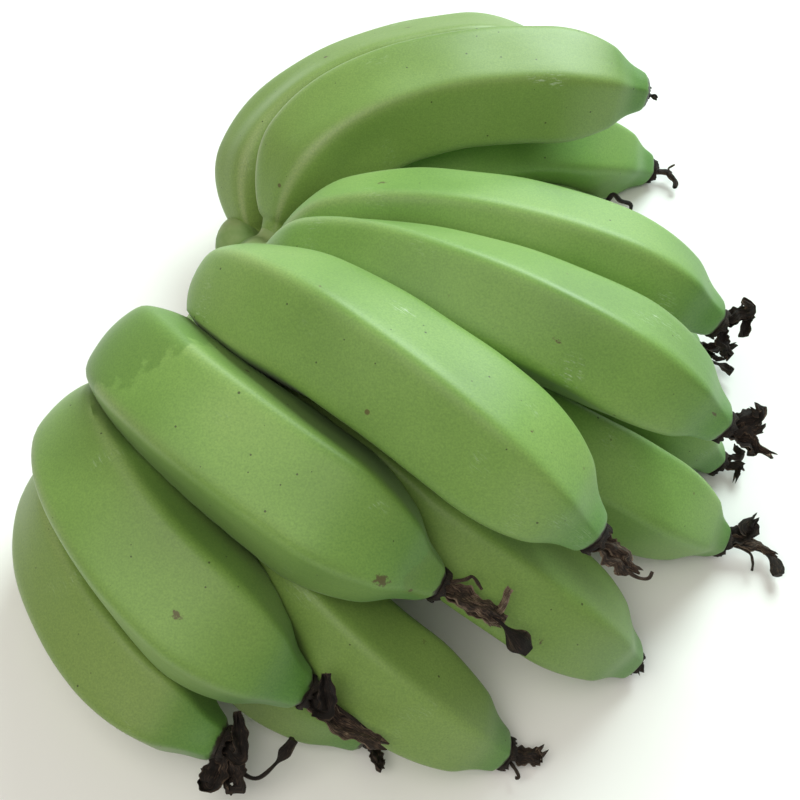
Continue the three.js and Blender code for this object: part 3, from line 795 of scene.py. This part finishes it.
def build_collar(start, size, seed):
    """The ragged cup that the dried flower leaves round the end of the fruit."""
    obj, heights, angles, spread = blank_tube("collar", 48, 11)
    draw = np.random.default_rng(seed)
    a, b, c = draw.uniform(0, 2 * math.pi, 3)
    ragged = 0.5 * np.sin(5 * angles + a) + 0.35 * np.sin(11 * angles + b)
    ragged = ragged + 0.3 * np.sin(17 * angles + c)
    # heights 0 to 0.55 run up the outside, 0.55 to 1 down into the cup
    up_part = np.clip(heights / 0.55, 0, 1)
    down_part = np.clip((heights - 0.55) / 0.45, 0, 1)
    radius = CUP_RADIUS + 0.7 * np.sin(math.pi * up_part) - 1.6 * down_part
    radius = (radius + 0.4 * np.sin(9 * angles + b) * up_part) * size
    rise = ((CUP_RISE + 1.6 * ragged) * smooth(up_part, 0, 1) - CUP_DEPTH * down_part) * size
    radius = np.where(spread < 0.01, 0, radius)
    rise = np.where((spread < 0.01) & (heights > 0.5), 1.1, np.where(spread < 0.01, 0, rise))
    outward = np.cos(angles)[:, None] * start["up"] + np.sin(angles)[:, None] * start["side"]
    points = start["point"] + outward * radius[:, None] + start["tangent"] * (rise + 0.2)[:, None]
    points[:, 2] = np.maximum(points[:, 2], TABLE_GAP)
    move_vertices(obj, points)
    set_attribute(obj.data, "shade", np.full(len(heights), 0.12))
    set_attribute(obj.data, "ridge", smooth(heights, 0.4, 0.55) * (1 - smooth(heights, 0.6, 0.75)))
    ring = np.stack([np.cos(angles) * 3, np.sin(angles) * 3, heights + seed], 1)
    set_attribute(obj.data, "ring", ring, "FLOAT_VECTOR")
    return obj


def build_flower(fruit, material, seed):
    """One dried flower: the ragged collar with its flakes and threads, joined in one object."""
    row, number = fruit.name.split("_")
    node = f"{row}_flower_{number}"
    point, tangent, up, side = (v[0] for v in fruit.frames(np.array([fruit.length])))
    start = {"point": point, "tangent": tangent, "up": up, "side": side}
    parts = [build_collar(start, COLLARS.get(fruit.name, 1), seed)]
    parts += [build_lobe(lobe, start, seed * 10 + i) for i, lobe in enumerate(FLOWERS[fruit.name])]
    deselect_all()
    for part in parts:
        part.select_set(True)
    bpy.context.view_layer.objects.active = parts[0]
    bpy.ops.object.join()
    obj = parts[0]
    obj.name = node + "_remnant"
    obj.data.name = obj.name
    finish_piece(obj, material, node, smooth_angle=60)


def closed_curve(points, per_span):
    """A smooth closed line through the points."""
    points = np.asarray(points, float)
    count = len(points)
    t = np.linspace(0, 1, per_span, endpoint=False)[:, None]
    pieces = []
    for i in range(count):
        a, b, c, d = (points[(i + k) % count] for k in (-1, 0, 1, 2))
        pieces.append(catmull_rom(a, b, c, d, t))
    return np.vstack(pieces)


def build_stalk_collar(fruit):
    """The flare with which a stalk grows out of the crown."""
    obj, heights, angles, spread = blank_tube("stalk_collar", 24, 7)
    s = -10 + 24 * heights
    point, tangent, ups, sides = fruit.frames(np.maximum(s, 0))
    centres = point + tangent * np.minimum(s, 0)[:, None]
    radius = STALK_RADIUS + 0.25 + 6 * (1 - heights) ** 2.2
    reach = np.where(spread < 0.01, 0, radius)[:, None]
    outward = np.cos(angles)[:, None] * ups + np.sin(angles)[:, None] * sides
    move_vertices(obj, centres + outward * reach)
    return obj


def build_shoulder():
    """The rounded far end of the crown, beside the last stalk."""
    deselect_all()
    bpy.ops.mesh.primitive_uv_sphere_add(segments=32, ring_count=20, radius=1)
    obj = bpy.context.active_object
    middle = np.array(SHOULDER_CENTRE) - MIDDLE
    move_vertices(obj, middle + vertex_array(obj.data) * SHOULDER_RADII)
    return obj


def apply_modifier(obj, kind, **settings):
    """Adds a modifier with its settings and applies it."""
    deselect_all()
    bpy.context.view_layer.objects.active = obj
    obj.select_set(True)
    modifier = obj.modifiers.new(kind.lower(), kind)
    for name, value in settings.items():
        setattr(modifier, name, value)
    bpy.ops.object.modifier_apply(modifier=modifier.name)


def vertex_array(mesh, name="co"):
    """The vertices' places or normals as rows."""
    values = np.empty(len(mesh.vertices) * 3, np.float32)
    mesh.vertices.foreach_get(name, values)
    return values.reshape(-1, 3).astype(float)


def build_crown(material):
    """The crown: a cushion spun round the stem's axis and cut at its ends, grown together with a collar
    for each stalk."""
    centre = CROWN_CENTRE - MIDDLE
    outline = closed_curve(CROWN_SECTION, 4)
    deselect_all()
    bpy.ops.mesh.primitive_circle_add(vertices=len(outline), radius=1)
    obj = bpy.context.active_object
    obj.name = "crown_cushion"
    obj.data.name = obj.name
    ring = centre + outline[:, :1] * UPWARD + outline[:, 1:] * ALONG
    obj.data.vertices.foreach_set("co", (ring * MM).astype(np.float32).ravel())
    obj.data.update()
    edit(obj)
    bpy.ops.mesh.select_all(action="SELECT")
    bpy.ops.mesh.spin(steps=CROWN_STEPS, angle=2 * math.pi, center=centre * MM, axis=ALONG)
    bpy.ops.mesh.select_all(action="SELECT")
    bpy.ops.mesh.remove_doubles(threshold=1e-5)
    bpy.ops.mesh.bisect(
        plane_co=(centre - CROWN_END_DROP * UPWARD) * MM, plane_no=UPWARD, use_fill=True, clear_inner=True)
    bpy.ops.mesh.select_all(action="SELECT")
    bpy.ops.mesh.normals_make_consistent(inside=False)
    bpy.ops.object.mode_set(mode="OBJECT")
    collars = [build_stalk_collar(fruit) for fruit in FRUITS] + [build_shoulder()]
    deselect_all()
    for part in (obj, *collars):
        part.select_set(True)
    bpy.context.view_layer.objects.active = obj
    bpy.ops.object.join()
    apply_modifier(obj, "REMESH", mode="VOXEL", voxel_size=CROWN_VOXEL * MM)
    apply_modifier(obj, "SMOOTH", factor=0.7, iterations=8)
    places = vertex_array(obj.data) / MM
    normals = vertex_array(obj.data, "normal")
    apart = places - centre
    radial = apart - (apart @ ALONG)[:, None] * ALONG
    distance = np.linalg.norm(radial, axis=1)
    inward = smooth(-(normals * unit(radial)).sum(1), 0.25, 0.6) * (1 - smooth(distance, *CUT_SIDE))
    set_attribute(obj.data, "cut", inward)
    grain = np.sin(apart @ ALONG * 0.9 + 2 * np.sin(apart @ SIDEWAYS * 0.15)) * 0.35
    places = places + normals * (grain * inward)[:, None]
    places[:, 2] = np.maximum(places[:, 2], TABLE_GAP)
    obj.data.vertices.foreach_set("co", (places * MM).astype(np.float32).ravel())
    obj.data.update()
    finish_piece(obj, material, "crown")


class PeelSettings(bpy.types.PropertyGroup):
    """Colours of the peel."""

    green: bpy.props.StringProperty(
        name="Green", description="sRGB hex code of the peel's main green", default="749c4b")
    deep_green: bpy.props.StringProperty(
        name="Deep green", description="sRGB hex code of the peel's darker patches", default="678f41")
    pale_green: bpy.props.StringProperty(
        name="Pale green", description="sRGB hex code of the peel's paler patches", default="80a457")
    # partly the fruits' own hue, partly painted shade: this colour is darker so that it darkens the fruits
    # further back and lower down
    olive_and_shade_colour: bpy.props.StringProperty(
        name="Olive", description="sRGB hex code towards which some fruits turn", default="7a904c")
    tip_green: bpy.props.StringProperty(
        name="Tip green", description="sRGB hex code of the peel just before the tip", default="4d8138")
    wiped_green: bpy.props.StringProperty(
        name="Wiped green", description="sRGB hex code of the peel where its bloom is wiped off",
        default="65873e")


class FlowerSettings(bpy.types.PropertyGroup):
    """Colours of the dried flowers."""

    black: bpy.props.StringProperty(
        name="Black", description="sRGB hex code of the darkest tissue", default="15110e")
    dark_brown: bpy.props.StringProperty(
        name="Dark brown", description="sRGB hex code of most of the tissue", default="2a211b")
    brown: bpy.props.StringProperty(
        name="Brown", description="sRGB hex code of the fibrous straps", default="5c4a3b")
    tan: bpy.props.StringProperty(
        name="Tan", description="sRGB hex code of the palest edges", default="94826e")


class CrownSettings(bpy.types.PropertyGroup):
    """Colours of the crown."""

    green: bpy.props.StringProperty(
        name="Green", description="sRGB hex code of the crown's outside", default="6f8f4a")
    pale_green: bpy.props.StringProperty(
        name="Pale green", description="sRGB hex code of its paler patches", default="93a56c")
    cut_dark: bpy.props.StringProperty(
        name="Dried cut", description="sRGB hex code of the cut face where it has browned", default="6a5234")
    cut_pale: bpy.props.StringProperty(
        name="Pale cut", description="sRGB hex code of the cut face's paler fibres", default="92794f")


class StageSettings(bpy.types.PropertyGroup):
    """Floor, light and camera."""

    floor: bpy.props.StringProperty(
        name="Floor", description="sRGB hex code of the floor", default="f4f4f2")
    distance: bpy.props.FloatProperty(
        name="Camera distance", description="From the camera to the point it looks at",
        default=0.48, unit="LENGTH")
    elevation: bpy.props.FloatProperty(
        name="Camera elevation", description="How far the camera looks down",
        default=math.radians(58), subtype="ANGLE")
    lens: bpy.props.FloatProperty(
        name="Lens", description="Focal length on a 36 mm sensor, in millimetres", default=46.8)


class PLANTAIN_OT_fruits(bpy.types.Operator):
    """Build the fruits of both rows"""

    bl_idname = "plantain.fruits"
    bl_label = "Fruits"

    def execute(self, context):
        material = peel_material(context.scene.plantain_peel)
        for seed, fruit in enumerate(FRUITS):
            build_fruit(fruit, material, seed)
        return {"FINISHED"}


class PLANTAIN_OT_flowers(bpy.types.Operator):
    """Build the dried flowers on the tips"""

    bl_idname = "plantain.flowers"
    bl_label = "Dried flowers"

    def execute(self, context):
        material = flower_material(context.scene.plantain_flower)
        for seed, fruit in enumerate(FRUITS):
            build_flower(fruit, material, seed + 1)
        return {"FINISHED"}


class PLANTAIN_OT_crown(bpy.types.Operator):
    """Build the crown that carries the fruits"""

    bl_idname = "plantain.crown"
    bl_label = "Crown"

    def execute(self, context):
        build_crown(crown_material(context.scene.plantain_crown))
        return {"FINISHED"}


class PLANTAIN_OT_stage(bpy.types.Operator):
    """Set the floor, the light and the camera"""

    bl_idname = "plantain.stage"
    bl_label = "Stage"

    def execute(self, context):
        settings = context.scene.plantain_stage
        deselect_all()
        bpy.ops.mesh.primitive_plane_add(size=6)
        floor = context.active_object
        floor.name = "floor"
        material, tree = new_material("pale_floor")
        shader = add_node(tree, "ShaderNodeBsdfPrincipled", {
            "Base Color": hex_colour(settings.floor), "Roughness": 0.9})
        add_node(tree, "ShaderNodeOutputMaterial", {"Surface": shader})
        floor.data.materials.append(material)

        world = bpy.data.worlds.new("soft_room")
        world.use_nodes = True
        world.node_tree.nodes["Background"].inputs["Color"].default_value = (1, 0.99, 0.97, 1)
        world.node_tree.nodes["Background"].inputs["Strength"].default_value = ROOM_LIGHT
        context.scene.world = world
        for name, place, size, power, colour in LAMPS:
            bpy.ops.object.light_add(type="AREA", location=place)
            light = context.active_object
            light.name = name
            light.data.size = size
            light.data.energy = power
            light.data.color = hex_colour(colour)[:3]
            light.rotation_euler = Vector(place).to_track_quat("Z", "Y").to_euler()

        aim = Vector((0, 0, AIM_HEIGHT)) - Vector(MIDDLE * MM)
        back = Vector((0, -math.cos(settings.elevation), math.sin(settings.elevation)))
        bpy.ops.object.camera_add(location=aim + back * settings.distance)
        camera = context.active_object
        camera.rotation_euler = back.to_track_quat("Z", "Y").to_euler()
        camera.data.sensor_width = 36
        camera.data.lens = settings.lens
        camera.data.clip_start = 0.01
        context.scene.camera = camera
        context.scene.view_settings.view_transform = "Standard"
        return {"FINISHED"}


class PLANTAIN_PT_panel(bpy.types.Panel):
    """Buttons that build the hand, and its colours."""

    bl_label = "Plantains"
    bl_idname = "PLANTAIN_PT_panel"
    bl_space_type = "VIEW_3D"
    bl_region_type = "UI"
    bl_category = "Plantains"

    def draw(self, context):
        for operator, settings in STEPS:
            self.layout.operator(operator.bl_idname)
            group = getattr(context.scene, settings)
            for name in group.bl_rna.properties.keys():
                if name not in ("rna_type", "name"):
                    self.layout.prop(group, name)


STEPS = [
    (PLANTAIN_OT_crown, "plantain_crown"),
    (PLANTAIN_OT_fruits, "plantain_peel"),
    (PLANTAIN_OT_flowers, "plantain_flower"),
    (PLANTAIN_OT_stage, "plantain_stage"),
]
SETTINGS = {
    "plantain_peel": PeelSettings,
    "plantain_flower": FlowerSettings,
    "plantain_crown": CrownSettings,
    "plantain_stage": StageSettings,
}


def register():
    """Adds the settings, operators and panel."""
    for name, group in SETTINGS.items():
        bpy.utils.register_class(group)
        setattr(bpy.types.Scene, name, bpy.props.PointerProperty(type=group))
    for operator, _ in STEPS:
        bpy.utils.register_class(operator)
    bpy.utils.register_class(PLANTAIN_PT_panel)


def unregister():
    """Removes them again."""
    bpy.utils.unregister_class(PLANTAIN_PT_panel)
    for operator, _ in reversed(STEPS):
        bpy.utils.unregister_class(operator)
    for name, group in SETTINGS.items():
        delattr(bpy.types.Scene, name)
        bpy.utils.unregister_class(group)


def main():
    """Builds everything."""
    register()
    for operator, _ in STEPS:
        getattr(bpy.ops.plantain, operator.bl_idname.split(".")[1])()


if __name__ == "__main__":
    main()
